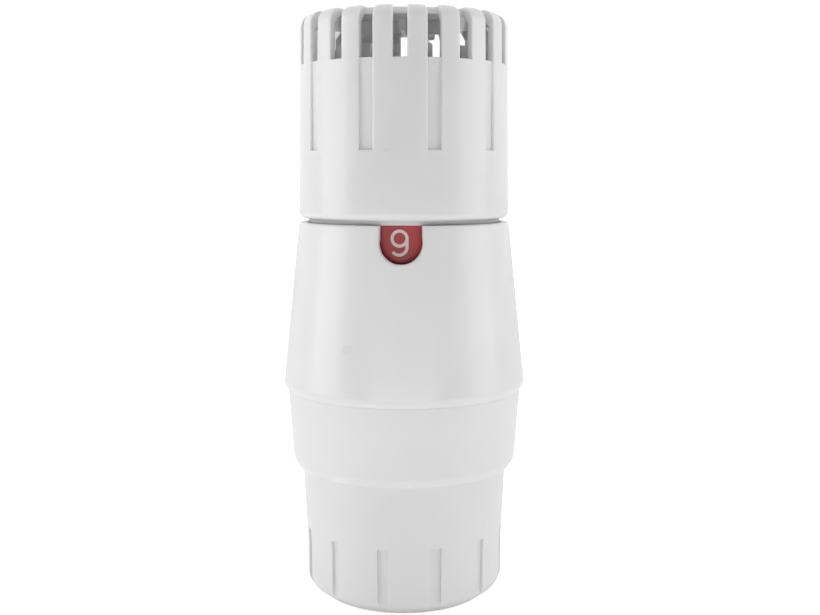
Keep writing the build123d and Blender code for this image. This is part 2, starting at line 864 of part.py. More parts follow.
makers = [
    nut_cover,
    nut_insert,
    nut_retaining_ring,
    base_socket,
    base_circlip,
    lower_sleeve,
    upper_shell,
    locking_tab,
    inner_frame,
    frame_screws,
    cap_snap_ring,
    friction_ring,
    cap,
    cover_disc,
    dial_ring,
    dial_numerals,
    spindle_nut,
    sensor_carrier,
    spring_retainer,
    sensor_cage,
    sensor_can,
    fill_stub,
    sensor_end_plate,
    bellows,
    overtravel_spring,
    spring_collar,
    push_pin,
    piston,
    pin_foot,
    return_spring,
]

os.makedirs("parts", exist_ok=True)
for maker in makers:
    name = maker.__name__
    piece = maker()
    export_step(piece, f"parts/{name}.step")
    print(name, round(piece.volume, 1))
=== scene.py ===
import math

import bmesh
import bpy
from mathutils import Matrix, Vector


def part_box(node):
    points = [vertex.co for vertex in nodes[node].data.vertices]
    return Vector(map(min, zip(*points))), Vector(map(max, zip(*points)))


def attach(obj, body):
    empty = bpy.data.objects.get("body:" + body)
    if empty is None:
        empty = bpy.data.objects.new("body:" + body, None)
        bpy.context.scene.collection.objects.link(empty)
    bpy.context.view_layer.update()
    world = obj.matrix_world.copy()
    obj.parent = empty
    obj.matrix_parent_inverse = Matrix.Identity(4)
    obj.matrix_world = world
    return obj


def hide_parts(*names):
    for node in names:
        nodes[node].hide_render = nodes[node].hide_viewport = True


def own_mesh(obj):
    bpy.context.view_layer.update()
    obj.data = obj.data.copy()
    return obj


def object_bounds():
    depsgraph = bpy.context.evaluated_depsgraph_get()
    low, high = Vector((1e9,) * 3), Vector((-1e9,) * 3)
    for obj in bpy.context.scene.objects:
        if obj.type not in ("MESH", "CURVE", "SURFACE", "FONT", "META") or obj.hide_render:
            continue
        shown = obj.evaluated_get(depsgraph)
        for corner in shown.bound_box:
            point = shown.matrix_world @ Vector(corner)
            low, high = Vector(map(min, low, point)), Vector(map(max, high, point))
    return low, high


# Radiator sensor head in white plastic: vented cap over a tapered shell, sleeve and fluted nut

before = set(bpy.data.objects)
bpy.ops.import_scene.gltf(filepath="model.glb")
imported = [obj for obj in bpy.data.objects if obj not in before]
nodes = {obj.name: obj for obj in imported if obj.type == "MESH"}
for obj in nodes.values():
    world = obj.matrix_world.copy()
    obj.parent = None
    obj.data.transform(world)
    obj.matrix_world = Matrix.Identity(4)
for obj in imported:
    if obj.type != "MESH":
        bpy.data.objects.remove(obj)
cadLow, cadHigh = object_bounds()
mm = 0.001
joinReach = 1e-6
frontAngle = math.radians(-90)
print("frame loaded, nodes:", len(nodes))


# --- meshes from outlines ---

def roundCorners(corners, steps=5):
    # corners are (radius, height, rounding) in metres; the loop is closed
    points = []
    for index, (r, z, size) in enumerate(corners):
        here = Vector((r, z))
        if size <= 0:
            points.append((r, z))
            continue
        toward = (Vector(corners[index - 1][:2]) - here).normalized()
        onward = (Vector(corners[(index + 1) % len(corners)][:2]) - here).normalized()
        angle = toward.angle(onward)
        reach = size / math.tan(angle / 2)
        centre = here + (toward + onward).normalized() * (size / math.sin(angle / 2))
        first = here + toward * reach - centre
        last = here + onward * reach - centre
        begin = math.atan2(first.y, first.x)
        sweep = math.atan2(last.y, last.x) - begin
        sweep = (sweep + math.pi) % (2 * math.pi) - math.pi
        for step in range(steps + 1):
            turn = begin + sweep * step / steps
            points.append((centre.x + size * math.cos(turn), centre.y + size * math.sin(turn)))
    return points


def around(r, angle, z):
    return Vector((r * math.cos(angle), r * math.sin(angle), z))


def latheMesh(name, points, segments):
    # closed outline turned right round Z; points on the axis become poles
    bm = bmesh.new()
    rings = []
    for r, z in points:
        if r < 1e-7:
            pole = bm.verts.new((0, 0, z))
            rings.append([pole] * segments)
            continue
        step = 2 * math.pi / segments
        rings.append([bm.verts.new(around(r, step * i, z)) for i in range(segments)])
    for row in range(len(rings)):
        low, high = rings[row], rings[(row + 1) % len(rings)]
        for i in range(segments):
            j = (i + 1) % segments
            corners = []
            for vert in (low[i], low[j], high[j], high[i]):
                if vert not in corners:
                    corners.append(vert)
            if len(corners) > 2:
                bm.faces.new(corners)
    return closeMesh(bm, name)


def closeMesh(bm, name, merge=1e-7):
    # doubles merged, empty faces dropped, faces pointing outwards
    bmesh.ops.remove_doubles(bm, verts=bm.verts, dist=merge)
    bmesh.ops.dissolve_degenerate(bm, dist=merge, edges=bm.edges)
    bmesh.ops.recalc_face_normals(bm, faces=bm.faces)
    mesh = bpy.data.meshes.new(name)
    bm.to_mesh(mesh)
    bm.free()
    return mesh


class OutlineSheet:
    # vertices shared by their place, so neighbouring outlines join up
    def __init__(self):
        self.bm = bmesh.new()
        self.known = {}

    def vert(self, place):
        key = tuple(round(c * 1e7) for c in place)
        if key not in self.known:
            self.known[key] = self.bm.verts.new(place)
        return self.known[key]

    def face(self, places):
        corners = []
        for place in places:
            vert = self.vert(place)
            if vert not in corners:
                corners.append(vert)
        if len(corners) > 2 and self.bm.faces.get(corners) is None:
            self.bm.faces.new(corners)


def bakeModifiers(piece):
    graph = bpy.context.evaluated_depsgraph_get()
    finished = bpy.data.meshes.new_from_object(piece.evaluated_get(graph))
    piece.modifiers.clear()
    piece.data = finished
    return piece


def newObject(name, mesh):
    piece = bpy.data.objects.new(name, mesh)
    bpy.context.scene.collection.objects.link(piece)
    return piece


def softenEdges(piece, width, chosen, segments):
    # bevels only the folded edges that chosen(edge) accepts
    leastFold = math.radians(35)
    bm = bmesh.new()
    bm.from_mesh(piece.data)
    layer = bm.edges.layers.float.new("bevel_weight_edge")
    for edge in bm.edges:
        if len(edge.link_faces) == 2 and edge.calc_face_angle(0) > leastFold:
            edge[layer] = chosen(edge)
    bm.to_mesh(piece.data)
    bm.free()
    bevel = piece.modifiers.new("softEdges", "BEVEL")
    bevel.limit_method = "WEIGHT"
    bevel.width = width
    bevel.segments = segments
    bevel.use_clamp_overlap = False
    bevel.miter_outer = "MITER_ARC"
    return bakeModifiers(piece)


def smoothShading(piece):
    # smooth faces, sharp corners kept, broad faces leading the normals
    sharpAngle, broadWeight = math.radians(32), 60
    mesh = piece.data
    for face in mesh.polygons:
        face.use_smooth = True
    mesh.set_sharp_from_angle(angle=sharpAngle)
    weighted = piece.modifiers.new("broadNormals", "WEIGHTED_NORMAL")
    weighted.keep_sharp = True
    weighted.weight = broadWeight
    return bakeModifiers(piece)


def dressPiece(piece, material, body, replaced):
    piece.data.materials.clear()
    piece.data.materials.append(material)
    smoothShading(piece)
    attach(piece, body)
    if replaced:
        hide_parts(*replaced)
    return piece


# --- Geometry Nodes: one shape repeated round the axis ---

def repeatTree(name, material):
    tree = bpy.data.node_groups.new(name, "GeometryNodeTree")
    sockets = {}
    made = tree.interface.new_socket("Geometry", in_out="INPUT", socket_type="NodeSocketGeometry")
    sockets["Geometry"] = made.identifier
    for label, kind, value in (
        ("Count", "NodeSocketInt", 1),
        ("Step Angle", "NodeSocketFloat", 0.0),
        ("First Angle", "NodeSocketFloat", 0.0),
        ("Merge Distance", "NodeSocketFloat", 0.0),
    ):
        made = tree.interface.new_socket(label, in_out="INPUT", socket_type=kind)
        made.default_value = value
        sockets[label] = made.identifier
    tree.interface.new_socket("Geometry", in_out="OUTPUT", socket_type="NodeSocketGeometry")
    add, link = tree.nodes.new, tree.links.new
    given, result = add("NodeGroupInput"), add("NodeGroupOutput")
    line = add("GeometryNodeMeshLine")
    line.mode = "OFFSET"
    line.inputs["Offset"].default_value = (0, 0, 0)
    link(given.outputs["Count"], line.inputs["Count"])
    index = add("GeometryNodeInputIndex")
    turn = add("ShaderNodeMath")
    turn.operation = "MULTIPLY_ADD"
    link(index.outputs[0], turn.inputs[0])
    link(given.outputs["Step Angle"], turn.inputs[1])
    link(given.outputs["First Angle"], turn.inputs[2])
    spin = add("ShaderNodeCombineXYZ")
    link(turn.outputs[0], spin.inputs["Z"])
    place = add("GeometryNodeInstanceOnPoints")
    link(line.outputs["Mesh"], place.inputs["Points"])
    link(given.outputs["Geometry"], place.inputs["Instance"])
    link(spin.outputs[0], place.inputs["Rotation"])
    real = add("GeometryNodeRealizeInstances")
    link(place.outputs["Instances"], real.inputs["Geometry"])
    merge = add("GeometryNodeMergeByDistance")
    link(real.outputs["Geometry"], merge.inputs["Geometry"])
    link(given.outputs["Merge Distance"], merge.inputs["Distance"])
    finish = add("GeometryNodeSetMaterial")
    finish.inputs["Material"].default_value = material
    link(merge.outputs["Geometry"], finish.inputs["Geometry"])
    link(finish.outputs["Geometry"], result.inputs["Geometry"])
    return tree, sockets


def repeatAround(name, mesh, material, count, stepAngle, firstAngle=0.0, mergeDistance=0.0):
    piece = newObject(name, mesh)
    tree, sockets = repeatTree(name + "Tree", material)
    modifier = piece.modifiers.new("repeat", "NODES")
    modifier.node_group = tree
    modifier[sockets["Count"]] = count
    modifier[sockets["Step Angle"]] = stepAngle
    modifier[sockets["First Angle"]] = firstAngle
    modifier[sockets["Merge Distance"]] = mergeDistance
    return bakeModifiers(piece)


# --- shader node groups shared by the finishes ---

def newGroup(name, inputs, outputs):
    group = bpy.data.node_groups.new(name, "ShaderNodeTree")
    for label, value in inputs:
        made = group.interface.new_socket(label, in_out="INPUT", socket_type="NodeSocketFloat")
        made.default_value = value
    for label in outputs:
        group.interface.new_socket(label, in_out="OUTPUT", socket_type="NodeSocketFloat")
    given = group.nodes.new("NodeGroupInput")
    result = group.nodes.new("NodeGroupOutput")
    coords = group.nodes.new("ShaderNodeTexCoord")
    return group, given, result, coords


def noiseNode(group, coords, scale, detail):
    noise = group.nodes.new("ShaderNodeTexNoise")
    noise.inputs["Detail"].default_value = detail
    group.links.new(scale, noise.inputs["Scale"])
    group.links.new(coords.outputs["Object"], noise.inputs["Vector"])
    return noise


def mouldedGrain():
    # fine eggshell of a moulded surface, and slow drift of tone
    group, given, result, coords = newGroup(
        "mouldedGrain", [("Grain Scale", 2600.0), ("Drift Scale", 60.0)], ["Height", "Drift"]
    )
    grain = noiseNode(group, coords, given.outputs["Grain Scale"], 4.0)
    drift = noiseNode(group, coords, given.outputs["Drift Scale"], 2.0)
    group.links.new(grain.outputs[0], result.inputs["Height"])
    group.links.new(drift.outputs[0], result.inputs["Drift"])
    return group


def edgeWear():
    # corners rubbed a little paler, broken up by noise
    flatPointiness = 0.52
    group, given, result, coords = newGroup(
        "edgeWear", [("Reach", 0.04), ("Breakup", 900.0)], ["Mask"]
    )
    shape = group.nodes.new("ShaderNodeNewGeometry")
    lift = group.nodes.new("ShaderNodeMath")
    lift.operation = "SUBTRACT"
    lift.inputs[1].default_value = flatPointiness
    group.links.new(shape.outputs["Pointiness"], lift.inputs[0])
    gain = group.nodes.new("ShaderNodeMath")
    gain.operation = "DIVIDE"
    gain.use_clamp = True
    group.links.new(lift.outputs[0], gain.inputs[0])
    group.links.new(given.outputs["Reach"], gain.inputs[1])
    noise = noiseNode(group, coords, given.outputs["Breakup"], 2.0)
    mix = group.nodes.new("ShaderNodeMath")
    mix.operation = "MULTIPLY"
    group.links.new(gain.outputs[0], mix.inputs[0])
    group.links.new(noise.outputs[0], mix.inputs[1])
    group.links.new(mix.outputs[0], result.inputs["Mask"])
    return group


def fineDust():
    # rare specks
    speckReach = 0.07
    group, given, result, coords = newGroup(
        "fineDust", [("Speck Scale", 1500.0), ("Amount", 0.3)], ["Mask"]
    )
    cells = group.nodes.new("ShaderNodeTexVoronoi")
    group.links.new(coords.outputs["Object"], cells.inputs["Vector"])
    group.links.new(given.outputs["Speck Scale"], cells.inputs["Scale"])
    near = group.nodes.new("ShaderNodeMath")
    near.operation = "LESS_THAN"
    near.inputs[1].default_value = speckReach
    group.links.new(cells.outputs["Distance"], near.inputs[0])
    amount = group.nodes.new("ShaderNodeMath")
    amount.operation = "MULTIPLY"
    group.links.new(near.outputs[0], amount.inputs[0])
    group.links.new(given.outputs["Amount"], amount.inputs[1])
    group.links.new(amount.outputs[0], result.inputs["Mask"])
    return group


groups = {"grain": mouldedGrain(), "wear": edgeWear(), "dust": fineDust()}


def groupNode(tree, key, **values):
    node = tree.nodes.new("ShaderNodeGroup")
    node.node_tree = groups[key]
    for label, value in values.items():
        node.inputs[label.replace("_", " ")].default_value = value
    return node


def mixColour(tree, first, second, factor):
    # first and second are colours or sockets
    node = tree.nodes.new("ShaderNodeMix")
    node.data_type = "RGBA"
    for socket, value in ((node.inputs[6], first), (node.inputs[7], second)):
        if isinstance(value, bpy.types.NodeSocket):
            tree.links.new(value, socket)
        else:
            socket.default_value = (*value, 1)
    tree.links.new(factor, node.inputs[0])
    return node.outputs[2]


def mapRange(tree, source, low, high, fromLow=0.3, fromHigh=0.7):
    node = tree.nodes.new("ShaderNodeMapRange")
    node.inputs["From Min"].default_value = fromLow
    node.inputs["From Max"].default_value = fromHigh
    node.inputs["To Min"].default_value = low
    node.inputs["To Max"].default_value = high
    tree.links.new(source, node.inputs["Value"])
    return node.outputs["Result"]


def newMaterial(name):
    material = bpy.data.materials.new(name)
    material.use_nodes = True
    tree = material.node_tree
    return material, tree, tree.nodes["Principled BSDF"]


def addBump(tree, shader, height, strength, distance):
    bump = tree.nodes.new("ShaderNodeBump")
    bump.inputs["Strength"].default_value = strength
    bump.inputs["Distance"].default_value = distance
    tree.links.new(height, bump.inputs["Height"])
    tree.links.new(bump.outputs["Normal"], shader.inputs["Normal"])


surface = {
    "shadeShare": 0.965,
    "speckShare": 0.6,
    "coatRoughness": 0.12,
    "glowDepth": 1.5 * mm,
    "plasticBump": 0.03 * mm,
    "metalBump": 0.02 * mm,
    "rubberBump": 0.04 * mm,
    "wornMetal": 1.25,
    "markStretch": 0.05,
    "markScale": 1000,
}


def mouldedPlastic(name, colour, look):
    # tone drifts between two shades of the colour, paler on worn edges, with rare specks
    material, tree, shader = newMaterial(name)
    grain = groupNode(tree, "grain", Grain_Scale=look["grainScale"])
    wear = groupNode(tree, "wear")
    dust = groupNode(tree, "dust", Amount=look["dust"])
    shade = tuple(c * surface["shadeShare"] for c in colour)
    drift = mapRange(tree, grain.outputs["Drift"], 0.0, 1.0)
    toned = mixColour(tree, shade, colour, drift)
    paler = tuple(min(1.0, c * look["edgeTone"]) for c in colour)
    worn = mixColour(tree, toned, paler, wear.outputs["Mask"])
    speckColour = tuple(c * surface["speckShare"] for c in colour)
    dusty = mixColour(tree, worn, speckColour, dust.outputs["Mask"])
    tree.links.new(dusty, shader.inputs["Base Color"])
    low, high = look["roughness"] - look["spread"], look["roughness"] + look["spread"]
    tree.links.new(mapRange(tree, grain.outputs["Drift"], low, high), shader.inputs["Roughness"])
    shader.inputs["IOR"].default_value = look["ior"]
    shader.inputs["Subsurface Weight"].default_value = look["glow"]
    shader.inputs["Subsurface Scale"].default_value = surface["glowDepth"]
    shader.inputs["Subsurface Radius"].default_value = (1.0, 1.0, 1.0)
    shader.inputs["Coat Weight"].default_value = look["coat"]
    shader.inputs["Coat Roughness"].default_value = surface["coatRoughness"]
    addBump(tree, shader, grain.outputs["Height"], look["bump"], surface["plasticBump"])
    return material


def turnedMetal(name, colour, look):
    # rings of fine tool marks round Z
    material, tree, shader = newMaterial(name)
    coords = tree.nodes.new("ShaderNodeTexCoord")
    stretch = tree.nodes.new("ShaderNodeMapping")
    across = surface["markStretch"]
    stretch.inputs["Scale"].default_value = (across, across, look["rings"])
    tree.links.new(coords.outputs["Object"], stretch.inputs["Vector"])
    marks = tree.nodes.new("ShaderNodeTexNoise")
    marks.inputs["Scale"].default_value = surface["markScale"]
    marks.inputs["Detail"].default_value = 3
    tree.links.new(stretch.outputs["Vector"], marks.inputs["Vector"])
    wear = groupNode(tree, "wear")
    grain = groupNode(tree, "grain", Grain_Scale=1200.0)
    dull = tuple(c * look["dull"] for c in colour)
    toned = mixColour(tree, dull, colour, mapRange(tree, grain.outputs["Drift"], 0.0, 1.0))
    bright = tuple(min(1.0, c * surface["wornMetal"]) for c in colour)
    worn = mixColour(tree, toned, bright, wear.outputs["Mask"])
    tree.links.new(worn, shader.inputs["Base Color"])
    shader.inputs["Metallic"].default_value = 1.0
    rough = mapRange(tree, marks.outputs[0], look["roughness"] - 0.07, look["roughness"] + 0.1)
    tree.links.new(rough, shader.inputs["Roughness"])
    addBump(tree, shader, marks.outputs[0], look["bump"], surface["metalBump"])
    return material


def nitrileRubber():
    material, tree, shader = newMaterial("nitrileRubber")
    grain = groupNode(tree, "grain", Grain_Scale=4000.0)
    darker, paler = (0.012, 0.012, 0.012), (0.03, 0.03, 0.03)
    tone = mixColour(tree, darker, paler, grain.outputs["Drift"])
    tree.links.new(tone, shader.inputs["Base Color"])
    tree.links.new(mapRange(tree, grain.outputs["Height"], 0.55, 0.8), shader.inputs["Roughness"])
    addBump(tree, shader, grain.outputs["Height"], 0.5, surface["rubberBump"])
    return material


def dialPlastic(edgeHeight):
    # red scale band below edgeHeight; above it the neck is painted grey, darker than the white plastic,
    # as painted shade of the gap under the cap
    material, tree, shader = newMaterial("dialRedBand")
    coords = tree.nodes.new("ShaderNodeTexCoord")
    split = tree.nodes.new("ShaderNodeSeparateXYZ")
    tree.links.new(coords.outputs["Object"], split.inputs[0])
    above = tree.nodes.new("ShaderNodeMath")
    above.operation = "GREATER_THAN"
    above.inputs[1].default_value = edgeHeight
    tree.links.new(split.outputs["Z"], above.inputs[0])
    grain = groupNode(tree, "grain", Grain_Scale=1800.0, Drift_Scale=140.0)
    # the neck is white plastic; its grey here is painted shade of the gap under the cap
    deepRed, paleRed, shadedNeck = (0.30, 0.022, 0.030), (0.42, 0.034, 0.036), (0.62, 0.62, 0.62)
    red = mixColour(tree, deepRed, paleRed, mapRange(tree, grain.outputs["Drift"], 0, 1))
    both = mixColour(tree, red, shadedNeck, above.outputs[0])
    tree.links.new(both, shader.inputs["Base Color"])
    tree.links.new(mapRange(tree, grain.outputs["Drift"], 0.38, 0.5), shader.inputs["Roughness"])
    addBump(tree, shader, grain.outputs["Height"], 0.25, surface["plasticBump"])
    return material


def floorPaint():
    material, tree, shader = newMaterial("floorPaper")
    noise = tree.nodes.new("ShaderNodeTexNoise")
    noise.inputs["Scale"].default_value = 40
    tone = mixColour(tree, (0.86, 0.86, 0.86), (0.90, 0.90, 0.90), noise.outputs[0])
    tree.links.new(tone, shader.inputs["Base Color"])
    shader.inputs["Roughness"].default_value = 0.9
    # white as seen by the camera, with only bounced light for the piece above
    path = tree.nodes.new("ShaderNodeLightPath")
    glow = mapRange(tree, path.outputs["Is Camera Ray"], 0.12, 0.6)
    shader.inputs["Emission Color"].default_value = (1, 1, 1, 1)
    tree.links.new(glow, shader.inputs["Emission Strength"])
    return material


shellLook = {
    "roughness": 0.30,
    "spread": 0.03,
    "grainScale": 2400.0,
    "bump": 0.10,
    "edgeTone": 1.05,
    "ior": 1.49,
    "coat": 0.25,
    "dust": 0.0,
    "glow": 0.0,
}
capLook = dict(shellLook, glow=0.6)
gripLook = dict(shellLook, roughness=0.36, bump=0.16, coat=0.12)
innerLook = dict(shellLook, roughness=0.5, bump=0.3, coat=0.0, dust=0.25, grainScale=1500.0)
printLook = dict(shellLook, roughness=0.45, coat=0.0, bump=0.1, dust=0.0)
brassLook = {"rings": 6.0, "dull": 0.82, "roughness": 0.28, "bump": 0.3}
tombacLook = dict(brassLook, roughness=0.35)
steelLook = {"rings": 3.0, "dull": 0.85, "roughness": 0.25, "bump": 0.2}
canLook = dict(steelLook, roughness=0.38, rings=1.0)

finishes = {
    "shell": mouldedPlastic("shellGlossWhite", (0.80, 0.80, 0.80), shellLook),
    "cap": mouldedPlastic("capGlossWhite", (0.79, 0.79, 0.79), capLook),
    "grip": mouldedPlastic("gripSatinWhite", (0.79, 0.79, 0.79), gripLook),
    "inner": mouldedPlastic("innerNylonWhite", (0.74, 0.74, 0.73), innerLook),
    "carrier": mouldedPlastic("carrierAcetalGrey", (0.60, 0.60, 0.60), innerLook),
    "print": mouldedPlastic("scalePrintPale", (0.66, 0.54, 0.54), printLook),
    "brass": turnedMetal("turnedBrass", (0.80, 0.60, 0.30), brassLook),
    "tombac": turnedMetal("bellowsTombac", (0.78, 0.52, 0.33), tombacLook),
    "steel": turnedMetal("springSteel", (0.62, 0.62, 0.64), steelLook),
    "can": turnedMetal("sensorCanAluminium", (0.80, 0.80, 0.81), canLook),
    "rubber": nitrileRubber(),
}
print("finishes made:", len(finishes) + 2)


# --- vented cap ---

capLow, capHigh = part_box("cap")
capSizes = {
    "windows": 20,
    "windowWidth": 2.5 * mm,
    "windowHeight": 9.25 * mm,
    "firstWindow": math.radians(-2.0),
    "bottomRadius": 19.95 * mm,
    "topRadius": 19.45 * mm,
    "wall": 1.7 * mm,
    "bottomRound": 1.3 * mm,
    "crownRound": 2.5 * mm,
    "roofRadius": 16.8 * mm,
    "roofThickness": 1.1 * mm,
    "barInner": 14.0 * mm,
    "barProud": 0.5 * mm,
    "barEnd": 0.25 * mm,
    "grooveHeight": 15.85 * mm,
    "grooveFloor": 19.2 * mm,
    "discHole": 11.1 * mm,
    "discLedge": 9.8 * mm,
    "dialLedge": (4.2 * mm, 1.0 * mm, 1.1 * mm),
    "hubLedge": (20.7 * mm, 1.5 * mm, 1.7 * mm),
    "edgeRound": 0.24 * mm,
}


def capOutlines(s):
    bottom, top, radius = capLow.z, capHigh.z, s["bottomRadius"]
    inner = radius - s["wall"]
    sill = top - s["windowHeight"]
    grooveLow = sill - s["grooveHeight"]
    roofTop = top - s["barProud"]
    roofLow = roofTop - s["roofThickness"]
    halfRoof = (roofTop + roofLow) / 2

    def wallAt(z):
        return radius + (s["topRadius"] - radius) * (z - bottom) / (top - bottom)

    arcSteps = 7
    rounded = roundCorners([
        (inner, bottom, 0),
        (radius, bottom, s["bottomRound"]),
        (s["topRadius"], top, s["crownRound"]),
        (s["barInner"], roofTop + s["barEnd"], 0),
    ], arcSteps)
    base, crown = rounded[:arcSteps + 2], rounded[arcSteps + 2:]
    lowWall = [(wallAt(grooveLow), grooveLow)]
    roofEnd = [(s["barInner"], roofTop)]
    roofInside = [(s["discHole"], roofTop), (s["discHole"], halfRoof), (s["discLedge"], halfRoof),
                  (s["discLedge"], roofLow), (s["roofRadius"], roofLow)]
    shoulder = [(inner, roofLow - (inner - s["roofRadius"]))]
    ledges = []
    for lift, thick, width in (s["hubLedge"], s["dialLedge"]):
        low = bottom + lift
        ledges += [(inner, low + thick), (inner - width, low + thick)]
        ledges += [(inner - width, low), (inner, low)]
    return {
        "base": base,
        "lowWall": lowWall,
        "sillOut": [(wallAt(sill), sill)],
        "crown": crown,
        "roofEnd": roofEnd,
        "roofInside": roofInside,
        "shoulder": shoulder,
        "sillIn": [(inner, sill)],
        "ledges": ledges,
        "roofEdge": [(s["roofRadius"], roofTop)],
        "grooveLow": [(s["grooveFloor"], grooveLow)],
        "grooveHigh": [(s["grooveFloor"], sill)],
    }


def joinLoop(sheet, loop, columns):
    # columns are functions from radius to angle
    count = len(loop)
    for left, right in zip(columns, columns[1:]):
        for i in range(count):
            (r1, z1), (r2, z2) = loop[i], loop[(i + 1) % count]
            sheet.face([around(r1, left(r1), z1), around(r1, right(r1), z1),
                        around(r2, right(r2), z2), around(r2, left(r2), z2)])


def columnSteps(first, last, count):
    # columns spread evenly from one to another
    return [lambda r, k=k: first(r) + (last(r) - first(r)) * k / count for k in range(count + 1)]


def capSector(s):
    # two windows and their bars: the second window has the long groove
    o = capOutlines(s)
    pitch = 2 * math.pi / s["windows"]
    barLoop = (o["base"] + o["lowWall"] + o["sillOut"] + o["crown"] + o["roofEnd"] + o["roofInside"]
               + o["shoulder"] + o["sillIn"] + o["ledges"])
    plainLoop = o["base"] + o["lowWall"] + o["sillOut"] + o["sillIn"] + o["ledges"]
    groovedLoop = (o["base"] + o["lowWall"] + o["grooveLow"] + o["grooveHigh"] + o["sillIn"]
                   + o["ledges"])
    roofLoop = o["roofEdge"] + o["roofEnd"] + o["roofInside"]
    crownWall = (o["sillOut"] + o["crown"] + o["roofEnd"] + o["roofEdge"] + o["roofInside"][-1:]
                 + o["shoulder"] + o["sillIn"])
    groovedWall = o["lowWall"] + crownWall + o["grooveHigh"] + o["grooveLow"]
    sheet = OutlineSheet()

    def edge(window, side):
        return lambda r: window * pitch + side * math.asin(s["windowWidth"] / 2 / r)

    def fixed(angle):
        return lambda r: angle

    for window, lowLoop, wall in ((0, plainLoop, crownWall), (1, groovedLoop, groovedWall)):
        opening = columnSteps(edge(window, -1), edge(window, 1), 3)
        joinLoop(sheet, lowLoop, opening)
        joinLoop(sheet, roofLoop, opening)
        for side in (-1, 1):
            sheet.face([around(r, edge(window, side)(r), z) for r, z in wall])
    joinLoop(sheet, barLoop, columnSteps(fixed(-pitch / 2), edge(0, -1), 3))
    joinLoop(sheet, barLoop, columnSteps(edge(0, 1), edge(1, -1), 6))
    joinLoop(sheet, barLoop, columnSteps(edge(1, 1), fixed(1.5 * pitch), 3))
    return closeMesh(sheet.bm, "capSector")


def makeCap(s):
    first = frontAngle + s["firstWindow"]
    turn = 4 * math.pi / s["windows"]
    sector = capSector(s)
    piece = repeatAround("ventedCap", sector, finishes["cap"], s["windows"] // 2, turn, first, joinReach)
    grooveLow = capHigh.z - s["windowHeight"] - s["grooveHeight"]
    arcLimit = s["topRadius"] + capHigh.z - s["crownRound"] - 0.15 * mm

    def onOutside(place):
        r = math.hypot(place.x, place.y)
        onWall = r > s["grooveFloor"] + 0.06 * mm
        onCrown = place.z > capHigh.z - 0.9 * s["barProud"]
        return place.z > grooveLow - joinReach and (onWall or onCrown or r + place.z > arcLimit)

    def chosen(edge):
        return 1.0 if all(onOutside(v.co) for v in edge.verts) else 0.0

    softenEdges(piece, s["edgeRound"], chosen, 3)
    return dressPiece(piece, finishes["cap"], "handwheel", ["cap"])


ventedCap = makeCap(capSizes)
print("vented cap made, faces:", len(ventedCap.data.polygons))

discLow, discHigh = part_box("cover_disc")
discSizes = {
    "thickness": 0.55 * mm,
    "edgeRound": 0.25 * mm,
    "ribs": 5,
    "ribWidth": 1.2 * mm,
    "ribInner": 2.4 * mm,
    "ribOuter": 9.0 * mm,
    "bossRadius": 3.0 * mm,
    "ribRound": 0.25 * mm,
}


def bossOutline(low, high, radius, size):
    return roundCorners([(0, low, 0), (radius, low, size), (radius, high, 0), (0, high, 0)])


def ribMesh(s):
    # one flat rib under the roof, rounded along its lower edges
    bm = bmesh.new()
    roofUnder = discHigh.z - s["thickness"]
    half, cut = s["ribWidth"] / 2, s["ribRound"]
    section = [(-half, roofUnder), (-half, discLow.z + cut), (-half + cut, discLow.z),
               (half - cut, discLow.z), (half, discLow.z + cut), (half, roofUnder)]
    ends = []
    for x in (s["ribInner"], s["ribOuter"]):
        ends.append([bm.verts.new((x, y, z)) for y, z in section])
    for i in range(len(section)):
        j = (i + 1) % len(section)
        bm.faces.new((ends[0][i], ends[0][j], ends[1][j], ends[1][i]))
    for end in ends:
        bm.faces.new(end)
    return closeMesh(bm, "roofRib")


def makeCoverDisc(s):
    radius, top = discHigh.x, discHigh.z
    low = top - s["thickness"]
    corners = [(0, low, 0), (radius, low, 0), (radius, top, s["edgeRound"]), (0, top, 0)]
    outline = roundCorners(corners, 3)
    plate = newObject("coverDisc", latheMesh("coverDisc", outline, 128))
    dressPiece(plate, finishes["cap"], "handwheel", ["cover_disc"])
    bossSide = bossOutline(discLow.z, low, s["bossRadius"], s["edgeRound"])
    boss = newObject("roofBoss", latheMesh("roofBoss", bossSide, 64))
    dressPiece(boss, finishes["cap"], "handwheel", [])
    first = frontAngle + capSizes["firstWindow"]
    turn = 2 * math.pi / s["ribs"]
    ribs = repeatAround("roofRibs", ribMesh(s), finishes["cap"], s["ribs"], turn, first)
    dressPiece(ribs, finishes["cap"], "handwheel", [])


makeCoverDisc(discSizes)
print("cover disc made")


# --- upper shell with its setting window ---

shellLow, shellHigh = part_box("upper_shell")
shellSizes = {
    "bottomRadius": 22.45 * mm,
    "bottomRound": 0.08 * mm,
    "stepRadius": 23.05 * mm,
    "topRadius": 20.0 * mm,
    "stepHeight": 0.9 * mm,
    "widestHeight": 1.5 * mm,
    "edgeRound": 0.9 * mm,
    "wall": 1.5 * mm,
    "rimRound": 0.6 * mm,
    "innerRound": 0.25 * mm,
    "windowWidth": 7.9 * mm,
    "windowDepth": 6.8 * mm,
    "windowAngle": math.radians(-1.6),
    "windowRound": 0.35 * mm,
    "counterbore": 21.85 * mm,
    "counterboreHeight": 4.3 * mm,
    "leadIn": 0.6 * mm,
    "patchHalfWidth": 8.0 * mm,
    "patchDepth": 12.0 * mm,
    "columns": 168,
    "ringShares": (0.0, 0.07, 0.2, 0.42, 0.7, 1.0),
    "straightSteps": 4,
    "lowerSteps": 8,
    "bottomSteps": 14,
}


def interpolate(points, z):
    # radius of a rising or falling outline at a height
    for (r1, z1), (r2, z2) in zip(points, points[1:]):
        low, high = min(z1, z2), max(z1, z2)
        if low - 1e-9 <= z <= high + 1e-9 and high > low:
            return r1 + (r2 - r1) * (z - z1) / (z2 - z1)
    return points[-1][0]


